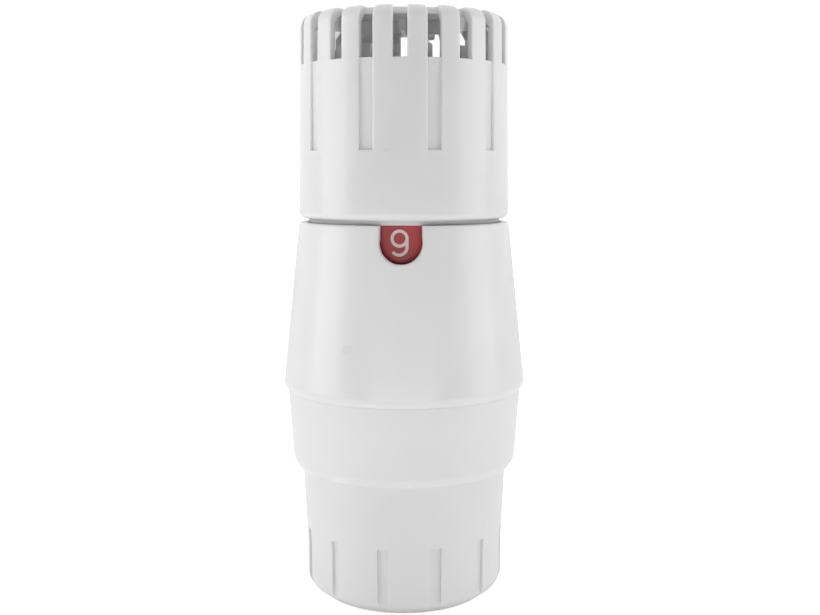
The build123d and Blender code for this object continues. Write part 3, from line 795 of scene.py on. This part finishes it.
def shellOutlines(s):
    low, high = shellLow.z, shellHigh.z
    widest = shellHigh.y
    inner = s["topRadius"] - s["wall"]
    # the step in the outline is softened so that it reads as moulded
    boreTop = low + s["counterboreHeight"]
    corners = [
        (s["counterbore"], low, 0),
        (s["bottomRadius"], low, s["bottomRound"]),
        (s["stepRadius"], low + s["stepHeight"], s["edgeRound"]),
        (widest, low + s["widestHeight"], s["edgeRound"]),
        (s["topRadius"], high, s["rimRound"]),
        (inner, high, s["innerRound"]),
        (s["counterbore"] - s["leadIn"], boreTop, 0),
        (s["counterbore"], boreTop - 0.1 * mm, 0),
    ]
    points = roundCorners(corners, 5)
    topOuter = max(range(len(points)), key=lambda i: (round(points[i][1], 7), points[i][0]))
    topInner = max(range(len(points)), key=lambda i: (round(points[i][1], 7), -points[i][0]))
    outer = points[1:topOuter + 1]
    innerSide = points[topInner:]
    return points[0], outer, innerSide


def windowPatch(s, rowHeights, bottomAngles):
    # rings of (angle, height) points from the window's edge out to the grid
    top = shellHigh.z
    half = s["windowWidth"] / 2
    centre = top - s["windowDepth"] + half
    radius = s["topRadius"]
    straight = [z for z in rowHeights if z > centre + 1e-9]
    lower = len(rowHeights) - len(straight)
    arcCount = 2 * lower + len(bottomAngles) - 2
    edgePoints = [(-half / radius, z) for z in straight]
    for k in range(arcCount):
        turn = math.pi * (k + 0.5) / arcCount
        edgePoints.append((-half * math.cos(turn) / radius, centre - half * math.sin(turn)))
    edgePoints += [(half / radius, z) for z in reversed(straight)]
    side = s["patchHalfWidth"] / radius
    border = [(-side, z) for z in rowHeights]
    border += [(a, rowHeights[-1]) for a in bottomAngles[1:-1]]
    border += [(side, z) for z in reversed(rowHeights)]
    rings = []
    for share in s["ringShares"]:
        rings.append([(e[0] + (b[0] - e[0]) * share, e[1] + (b[1] - e[1]) * share)
                      for e, b in zip(edgePoints, border)])
    return rings


def makeUpperShell(s):
    seat, outer, innerSide = shellOutlines(s)
    top = shellHigh.z
    patchLow = top - s["patchDepth"]
    roundRows = [z for r, z in reversed(outer) if z > top - s["rimRound"] * 1.05]
    innerRound = [z for r, z in innerSide if z > top - s["innerRound"] * 1.05]
    centre = top - s["windowDepth"] + s["windowWidth"] / 2
    lowestRound = min(roundRows + innerRound)
    rows = sorted(set(round(z, 8) for z in roundRows + innerRound), reverse=True)
    straight, lower, bottom = s["straightSteps"], s["lowerSteps"], s["bottomSteps"]
    rows += [lowestRound + (centre - lowestRound) * k / straight for k in range(1, straight)]
    rows += [centre + (patchLow - centre) * k / lower for k in range(lower + 1)]
    side = s["patchHalfWidth"] / s["topRadius"]
    bottomAngles = [-side + 2 * side * k / bottom for k in range(bottom + 1)]
    rings = windowPatch(s, rows, bottomAngles)
    middle = frontAngle + s["windowAngle"]
    sheet = OutlineSheet()

    def outerAt(angle, z):
        return around(interpolate(outer, z), middle + angle, z)

    def innerAt(angle, z):
        return around(interpolate(innerSide, z), middle + angle, z)

    for ring, nextRing in zip(rings, rings[1:]):
        for k in range(len(ring) - 1):
            quad = (ring[k], ring[k + 1], nextRing[k + 1], nextRing[k])
            sheet.face([outerAt(*p) for p in quad])
            sheet.face([innerAt(*p) for p in quad])
        for k in (0, -1):
            a, b = ring[k], nextRing[k]
            sheet.face([outerAt(*a), outerAt(*b), innerAt(*b), innerAt(*a)])
    for k in range(len(rings[0]) - 1):
        a, b = rings[0][k], rings[0][k + 1]
        sheet.face([outerAt(*a), outerAt(*b), innerAt(*b), innerAt(*a)])
    wide = 2 * math.pi - 2 * side
    restAngles = [side + wide * k / s["columns"] for k in range(s["columns"] + 1)]
    for a, b in zip(restAngles, restAngles[1:]):
        for high, low in zip(rows, rows[1:]):
            sheet.face([outerAt(a, high), outerAt(b, high), outerAt(b, low), outerAt(a, low)])
            sheet.face([innerAt(a, high), innerAt(b, high), innerAt(b, low), innerAt(a, low)])
        sheet.face([outerAt(a, top), outerAt(b, top), innerAt(b, top), innerAt(a, top)])
    lowerOuter = [p for p in outer if p[1] < patchLow - 1e-9]
    lowerOuter.append((interpolate(outer, patchLow), patchLow))
    lowerInner = [(interpolate(innerSide, patchLow), patchLow)]
    lowerInner += [p for p in innerSide if p[1] < patchLow - 1e-9]
    loop = lowerOuter + lowerInner + [seat]
    allAngles = restAngles + [2 * math.pi + a for a in bottomAngles[1:]]
    for a, b in zip(allAngles, allAngles[1:]):
        for i in range(len(loop)):
            if i == len(lowerOuter) - 1:
                continue
            (r1, z1), (r2, z2) = loop[i], loop[(i + 1) % len(loop)]
            sheet.face([around(r1, middle + a, z1), around(r1, middle + b, z1),
                        around(r2, middle + b, z2), around(r2, middle + a, z2)])
    piece = newObject("upperShell", closeMesh(sheet.bm, "upperShell", joinReach))
    reach = s["windowWidth"] / 2 + 0.05 * mm
    spin = Matrix.Rotation(-middle, 3, "Z")

    def chosen(edge):
        places = [spin @ v.co for v in edge.verts]
        nearWindow = all(p.x > 0 and abs(p.y) < reach for p in places)
        outside = all(math.hypot(p.x, p.y) > s["topRadius"] - 0.8 * s["wall"] for p in places)
        return 1.0 if nearWindow and outside and max(p.z for p in places) < top - joinReach else 0.0

    softenEdges(piece, s["windowRound"], chosen, 3)
    return dressPiece(piece, finishes["shell"], "housing", ["upper_shell"])


upperShell = makeUpperShell(shellSizes)
print("upper shell made, faces:", len(upperShell.data.polygons))


# --- lower sleeve ---

sleeveLow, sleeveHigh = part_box("lower_sleeve")
sleeveSizes = {
    "bottomRadius": 20.6 * mm,
    "bottomRound": 0.25 * mm,
    "edgeRadius": 21.5 * mm,
    "edgeHeight": 1.5 * mm,
    "edgeRound": 1.5 * mm,
    "wall": 1.7 * mm,
    "skirtWall": 1.2 * mm,
    "spigotHeight": 4.0 * mm,
    "spigotRadius": 21.75 * mm,
    "spigotWall": 1.4 * mm,
    "floorLift": 0.4 * mm,
    "floorThickness": 2.0 * mm,
    "floorHole": 12.4 * mm,
}


def makeLowerSleeve(s):
    low, topRadius = sleeveLow.z, sleeveHigh.x
    shoulder = sleeveHigh.z - s["spigotHeight"]
    floorLow = low + s["floorLift"]
    floorTop = floorLow + s["floorThickness"]
    corners = [
        (s["bottomRadius"], low, s["bottomRound"]),
        (s["edgeRadius"], low + s["edgeHeight"], s["edgeRound"]),
        (topRadius, shoulder, 0.08 * mm),
        (s["spigotRadius"], shoulder, 0),
        (s["spigotRadius"], sleeveHigh.z, 0.3 * mm),
        (s["spigotRadius"] - s["spigotWall"], sleeveHigh.z, 0),
        (s["spigotRadius"] - s["spigotWall"], shoulder - s["wall"], 0),
        (s["edgeRadius"] - s["wall"], floorTop, 0.4 * mm),
        (s["floorHole"], floorTop, 0),
        (s["floorHole"], floorLow, 0),
        (s["bottomRadius"] - s["skirtWall"], floorLow, 0),
        (s["bottomRadius"] - s["skirtWall"], low, 0.2 * mm),
    ]
    piece = newObject("lowerSleeve", latheMesh("lowerSleeve", roundCorners(corners, 6), 192))
    return dressPiece(piece, finishes["shell"], "housing", ["lower_sleeve"])


makeLowerSleeve(sleeveSizes)
print("lower sleeve made")


# --- union nut: fluted grip and threaded insert ---

gripLow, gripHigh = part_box("nut_cover")
gripSizes = {
    "radius": 19.05 * mm,
    "straightTop": 10.3 * mm,
    "seam": 0.06 * mm,
    "footRadius": 15.9 * mm,
    "footInner": 15.3 * mm,
    "footRound": 0.6 * mm,
    "cornerHeight": 2.3 * mm,
    "cornerRound": 3.2 * mm,
    "lipHeight": 1.2 * mm,
    "insertRadius": 16.5 * mm,
    "insertTop": 15.5 * mm,
    "bore": 15.0 * mm,
    "flutes": 12,
    "fluteWidth": 1.9 * mm,
    "fluteDepth": 0.5 * mm,
    "fluteTop": 13.0 * mm,
    "firstFlute": math.radians(-72.0),
    "edgeRound": 0.16 * mm,
}


def gripSector(s):
    # one flute in the middle of its share of the grip, whose rim ends just under the sleeve
    top, topRadius = sleeveLow.z - s["seam"], gripHigh.x
    outside = roundCorners([
        (s["footInner"], 0, 0),
        (s["footRadius"], 0, s["footRound"]),
        (s["radius"], s["cornerHeight"], s["cornerRound"]),
        (s["radius"], s["straightTop"], 0),
        (topRadius, top, 0.12 * mm),
        (s["bore"], top, 0),
    ], 8)
    risen = [p for p in outside if p[1] <= s["fluteTop"]]
    above = [p for p in outside if p[1] > s["fluteTop"] and p[0] > s["bore"] + joinReach]
    slope = (topRadius - s["radius"]) / (top - s["straightTop"])
    edgeRadius = s["radius"] + (s["fluteTop"] - s["straightTop"]) * slope
    inside = [(s["bore"], top), (s["bore"], s["insertTop"]), (s["insertRadius"], s["insertTop"]),
              (s["insertRadius"], s["lipHeight"]), (s["footInner"], s["lipHeight"])]
    full = risen + [(edgeRadius, s["fluteTop"])] * 2 + above + inside
    floor = s["radius"] - s["fluteDepth"]
    cut = []
    for r, z in risen:
        cut.append((min(r, floor), z))
    cut += [(floor, s["fluteTop"]), (edgeRadius, s["fluteTop"])] + above + inside
    pitch = 2 * math.pi / s["flutes"]
    sheet = OutlineSheet()

    def edge(side):
        return lambda r: side * math.asin(s["fluteWidth"] / 2 / r)

    joinLoop(sheet, full, columnSteps(lambda r: -pitch / 2, edge(-1), 6))
    joinLoop(sheet, full, columnSteps(edge(1), lambda r: pitch / 2, 6))
    joinLoop(sheet, cut, columnSteps(edge(-1), edge(1), 2))
    for side in (-1, 1):
        for i in range(len(risen) + 1):
            places = [full[i], full[i + 1], cut[i + 1], cut[i]]
            if len(set(places)) > 2:
                sheet.face([around(r, edge(side)(r), z) for r, z in places])
    return closeMesh(sheet.bm, "gripSector")


def makeGrip(s):
    first = frontAngle + s["firstFlute"]
    turn = 2 * math.pi / s["flutes"]
    piece = repeatAround("nutGrip", gripSector(s), finishes["grip"], s["flutes"], turn, first, joinReach)

    def chosen(edge):
        places = [v.co for v in edge.verts]
        outside = min(math.hypot(p.x, p.y) for p in places) > s["radius"] - 0.6 * s["fluteDepth"]
        return 1.0 if outside else 0.0

    softenEdges(piece, s["edgeRound"], chosen, 2)
    return dressPiece(piece, finishes["grip"], "nut", ["nut_cover"])


nutGrip = makeGrip(gripSizes)
print("nut grip made, faces:", len(nutGrip.data.polygons))

insertLow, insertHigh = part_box("nut_insert")
insertSizes = {
    "minor": 14.19 * mm,
    "major": 15.0 * mm,
    "pitch": 1.5 * mm,
    "chamfer": 0.8 * mm,
    "threadLength": 8.4 * mm,
    "relief": 2.6 * mm,
    "shoulderBore": 12.6 * mm,
    "edgeCut": 0.2 * mm,
    "columns": 120,
    "rowsPerTurn": 10,
}


def threadDepth(phase):
    # flat crest, sloping flanks and flat root of the thread, from 0 to 1
    share = phase % 1.0
    crest, flank = 0.25, 0.3
    if share < crest:
        return 0.0
    if share < crest + flank:
        return (share - crest) / flank
    if share < 1.0 - flank:
        return 1.0
    return (1.0 - share) / flank


def makeInsert(s):
    low, high, outer = insertLow.z, insertHigh.z, insertHigh.x
    start = low + s["chamfer"]
    end = start + s["threadLength"]
    reliefTop = end + s["relief"]
    bm = bmesh.new()
    rowStep = s["pitch"] / s["rowsPerTurn"]
    rowCount = round(s["threadLength"] / rowStep)
    cut = s["edgeCut"]
    plain = [(s["major"], low), (outer - cut, low), (outer, low + cut), (outer, high - cut),
             (outer - cut, high), (s["shoulderBore"], high), (s["shoulderBore"], reliefTop),
             (s["major"], reliefTop), (s["major"], end)]
    rows = [[(r, z)] * s["columns"] for r, z in plain]
    for row in range(rowCount, -1, -1):
        z = start + row * s["threadLength"] / rowCount
        ring = []
        for column in range(s["columns"]):
            phase = (z - start) / s["pitch"] - column / s["columns"]
            ring.append((s["minor"] + (s["major"] - s["minor"]) * threadDepth(phase), z))
        rows.append(ring)
    rings = []
    for ring in rows:
        made = []
        for column, (r, z) in enumerate(ring):
            made.append(bm.verts.new(around(r, 2 * math.pi * column / s["columns"], z)))
        rings.append(made)
    for i in range(len(rings)):
        here, there = rings[i], rings[(i + 1) % len(rings)]
        for c in range(s["columns"]):
            d = (c + 1) % s["columns"]
            bm.faces.new((here[c], here[d], there[d], there[c]))
    piece = newObject("threadedInsert", closeMesh(bm, "threadedInsert"))
    return dressPiece(piece, finishes["brass"], "nut", ["nut_insert"])


makeInsert(insertSizes)
print("threaded insert made")


# --- dial ring behind the window ---

dialLow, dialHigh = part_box("dial_ring")
dialSizes = {"wall": 1.2 * mm, "lipHeight": 1.0 * mm, "lipRadius": 16.35 * mm}


def makeDial(s):
    radius = dialHigh.x
    inner = radius - s["wall"]
    corners = [
        (s["lipRadius"], dialLow.z, 0),
        (radius, dialLow.z, 0.3 * mm),
        (radius, dialHigh.z, 0.1 * mm),
        (inner, dialHigh.z, 0),
        (inner, dialLow.z + s["lipHeight"], 0),
        (s["lipRadius"], dialLow.z + s["lipHeight"], 0),
    ]
    piece = newObject("dialRing", latheMesh("dialRing", roundCorners(corners, 3), 192))
    finish = dialPlastic(shellHigh.z)
    return dressPiece(piece, finish, "handwheel", ["dial_ring"])


makeDial(dialSizes)
print("dial ring made")


# --- sensor cage seen through the crown ---

cageLow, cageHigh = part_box("sensor_cage")
cageSizes = {
    "wall": 1.7 * mm,
    "ringHeight": 1.6 * mm,
    "lowRound": 0.2 * mm,
    "highRound": 0.3 * mm,
    "posts": 10,
    "postWidth": 2.6 * mm,
    "postRound": 0.4 * mm,
}


def postMesh(s):
    # an upright with rounded corners, on a curved foot
    outer = cageHigh.x
    inner = outer - s["wall"]
    half, size = s["postWidth"] / 2, s["postRound"]
    corners = [(inner, -half), (outer, -half), (outer, half), (inner, half)]
    section = []
    for index, (x, y) in enumerate(corners):
        cx = x + (size if x == inner else -size)
        cy = y + (size if y < 0 else -size)
        base = (math.pi, -math.pi / 2, 0.0, math.pi / 2)[index]
        for step in range(4):
            turn = base + math.pi / 2 * step / 3
            section.append((cx + size * math.cos(turn), cy + size * math.sin(turn)))
    levels = [(cageLow.z + s["ringHeight"] * 0.5, 0.0), (cageHigh.z - size, 0.0),
              (cageHigh.z - size * 0.3, 0.3 * size), (cageHigh.z, size)]
    bm = bmesh.new()
    centre = Vector(((inner + outer) / 2, 0))
    rings = []
    for z, shrink in levels:
        ring = []
        for x, y in section:
            pull = Vector((x, y)) - centre
            scale = 1 - shrink / pull.length
            ring.append(bm.verts.new((centre.x + pull.x * scale, pull.y * scale, z)))
        rings.append(ring)
    for low, high in zip(rings, rings[1:]):
        for i in range(len(section)):
            j = (i + 1) % len(section)
            bm.faces.new((low[i], low[j], high[j], high[i]))
    bm.faces.new(rings[0])
    bm.faces.new(rings[-1])
    return closeMesh(bm, "cagePost")


def makeCage(s):
    outer = cageHigh.x
    inner = outer - s["wall"]
    low, high = cageLow.z, cageLow.z + s["ringHeight"]
    corners = [(inner, low, 0), (outer, low, s["lowRound"]),
               (outer, high, s["highRound"]), (inner, high, s["highRound"])]
    ring = newObject("cageRing", latheMesh("cageRing", roundCorners(corners, 3), 128))
    dressPiece(ring, finishes["inner"], "carrier", ["sensor_cage"])
    first = frontAngle + capSizes["firstWindow"] + math.pi / s["posts"]
    turn = 2 * math.pi / s["posts"]
    posts = repeatAround("cagePosts", postMesh(s), finishes["inner"], s["posts"], turn, first)
    dressPiece(posts, finishes["inner"], "carrier", [])


makeCage(cageSizes)
print("sensor cage made")


# --- coil springs ---

springSizes = {
    "return_spring": {
        "radius": 4.6 * mm, "wire": 0.5 * mm, "turns": 6,
        "joint": "pin_slide", "anchorTop": False, "travel": 2.5 * mm, "body": "carrier",
    },
    "overtravel_spring": {
        "radius": 12.2 * mm, "wire": 0.3 * mm, "turns": 7,
        "joint": "sensor_float", "anchorTop": True, "travel": 1.5 * mm, "body": "carrier",
    },
}


def coilMesh(name, s, low, high):
    # close end turns, open middle
    wireSides, perTurn, closeness = 10, 40, 0.75
    count = s["turns"] * perTurn
    bm = bmesh.new()
    rings = []
    for k in range(count + 1):
        share = k / count
        rise = share - math.sin(2 * math.pi * share) / (2 * math.pi) * closeness
        angle = share * s["turns"] * 2 * math.pi
        centre = around(s["radius"], angle, low + s["wire"] + (high - low - 2 * s["wire"]) * rise)
        outward = Vector((math.cos(angle), math.sin(angle), 0))
        ring = []
        for j in range(wireSides):
            turn = 2 * math.pi * j / wireSides
            upward = Vector((0, 0, s["wire"] * math.sin(turn)))
            ring.append(bm.verts.new(centre + outward * s["wire"] * math.cos(turn) + upward))
        rings.append(ring)
    for a, b in zip(rings, rings[1:]):
        for j in range(wireSides):
            i = (j + 1) % wireSides
            bm.faces.new((a[j], a[i], b[i], b[j]))
    bm.faces.new(rings[0])
    bm.faces.new(rings[-1])
    return closeMesh(bm, name)


def makeSprings():
    for node, s in springSizes.items():
        low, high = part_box(node)
        piece = newObject(node.replace("_s", "S"), coilMesh(node, s, low.z, high.z))
        dressPiece(piece, finishes["steel"], s["body"], [node])
        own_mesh(piece)


makeSprings()
print("springs made")


# --- finishes of the frame's own nodes ---

nodeFinishes = {
    "locking_tab": "shell",
    "dial_numerals": "print",
    "base_socket": "inner",
    "inner_frame": "inner",
    "spindle_nut": "inner",
    "sensor_carrier": "carrier",
    "spring_collar": "carrier",
    "piston": "carrier",
    "pin_foot": "carrier",
    "sensor_can": "can",
    "fill_stub": "can",
    "sensor_end_plate": "brass",
    "bellows": "tombac",
    "nut_retaining_ring": "steel",
    "base_circlip": "steel",
    "frame_screws": "steel",
    "cap_snap_ring": "steel",
    "spring_retainer": "steel",
    "push_pin": "steel",
    "friction_ring": "rubber",
}
for nodeName, finishName in nodeFinishes.items():
    slots = nodes[nodeName].material_slots
    for slotHere in slots:
        slotHere.material = finishes[finishName]
    if not slots:
        nodes[nodeName].data.materials.append(finishes[finishName])
print("node finishes set:", len(nodeFinishes))


# --- studio: floor, light and camera ---

studio = {
    "floorRadius": 3.0,
    "cameraDistance": 0.220,
    "eyeHeight": 0.08177,
    "lens": 50.2,
    "pitch": math.radians(6.87),
    "yaw": math.radians(0.30),
    "floorDrop": 0.05 * mm,
    "frontLight": 0.07,
    "backLight": 1.05,
    "frontEdge": -0.8,
    "backEdge": 0.3,
    "seenLight": 1.05,
}


def makeFloor(s):
    bm = bmesh.new()
    bmesh.ops.create_circle(bm, cap_ends=True, segments=96, radius=s["floorRadius"])
    mesh = bpy.data.meshes.new("studioFloor")
    bm.to_mesh(mesh)
    bm.free()
    floor = newObject("studioFloor", mesh)
    mesh.transform(Matrix.Translation((0, 0, cadLow.z - s["floorDrop"])))
    mesh.materials.append(floorPaint())


def makeWorld(s):
    # dimmer from the camera's side, brighter behind, white where it is seen
    world = bpy.data.worlds.new("studioWorld")
    bpy.context.scene.world = world
    world.use_nodes = True
    tree = world.node_tree
    background = tree.nodes["Background"]
    coords = tree.nodes.new("ShaderNodeTexCoord")
    split = tree.nodes.new("ShaderNodeSeparateXYZ")
    tree.links.new(coords.outputs["Generated"], split.inputs[0])
    level = tree.nodes.new("ShaderNodeMapRange")
    level.interpolation_type = "SMOOTHSTEP"
    level.inputs["From Min"].default_value = s["frontEdge"]
    level.inputs["From Max"].default_value = s["backEdge"]
    level.inputs["To Min"].default_value = s["frontLight"]
    level.inputs["To Max"].default_value = s["backLight"]
    tree.links.new(split.outputs["Y"], level.inputs["Value"])
    path = tree.nodes.new("ShaderNodeLightPath")
    seen = tree.nodes.new("ShaderNodeMix")
    seen.data_type = "FLOAT"
    tree.links.new(path.outputs["Is Camera Ray"], seen.inputs[0])
    tree.links.new(level.outputs["Result"], seen.inputs[2])
    seen.inputs[3].default_value = s["seenLight"]
    tree.links.new(seen.outputs[0], background.inputs["Strength"])
    background.inputs["Color"].default_value = (1, 1, 1, 1)


def areaLight(name, place, aim, size, power):
    light = bpy.data.lights.new(name, "AREA")
    light.shape = "RECTANGLE"
    light.size, light.size_y = size
    light.energy = power
    lamp = newObject(name, light)
    lamp.location = place
    direction = Vector(aim) - Vector(place)
    lamp.rotation_euler = direction.to_track_quat("-Z", "Y").to_euler()
    lamp.visible_camera = False


def makeCamera(s):
    camera = newObject("camera", bpy.data.cameras.new("camera"))
    camera.data.lens = s["lens"]
    camera.data.sensor_width = 36.0
    camera.location = (0, -s["cameraDistance"], s["eyeHeight"])
    camera.rotation_euler = (math.pi / 2 - s["pitch"], 0, -s["yaw"])
    camera.data.clip_start, camera.data.clip_end = 0.01, 20
    bpy.context.scene.camera = camera


makeFloor(studio)
makeWorld(studio)
middleHeight = (cadLow.z + cadHigh.z) / 2
lamps = [  # name, place, height aimed at, size, watts
    ("leftSoftbox", (-0.55, -0.10, 0.16), middleHeight, (0.35, 0.5), 1.0),
    ("rightSoftbox", (0.55, -0.10, 0.16), middleHeight, (0.35, 0.5), 0.68),
    ("topSoftbox", (0, -0.05, 0.60), middleHeight, (0.5, 0.5), 0.35),
    ("lowFill", (0, -0.26, 0.025), 0.025, (0.30, 0.05), 0.15),
]
for lampName, place, aimHeight, size, watts in lamps:
    areaLight(lampName, place, (0, 0, aimHeight), size, watts)
makeCamera(studio)
bpy.context.scene.view_settings.view_transform = "Standard"
print("studio made")
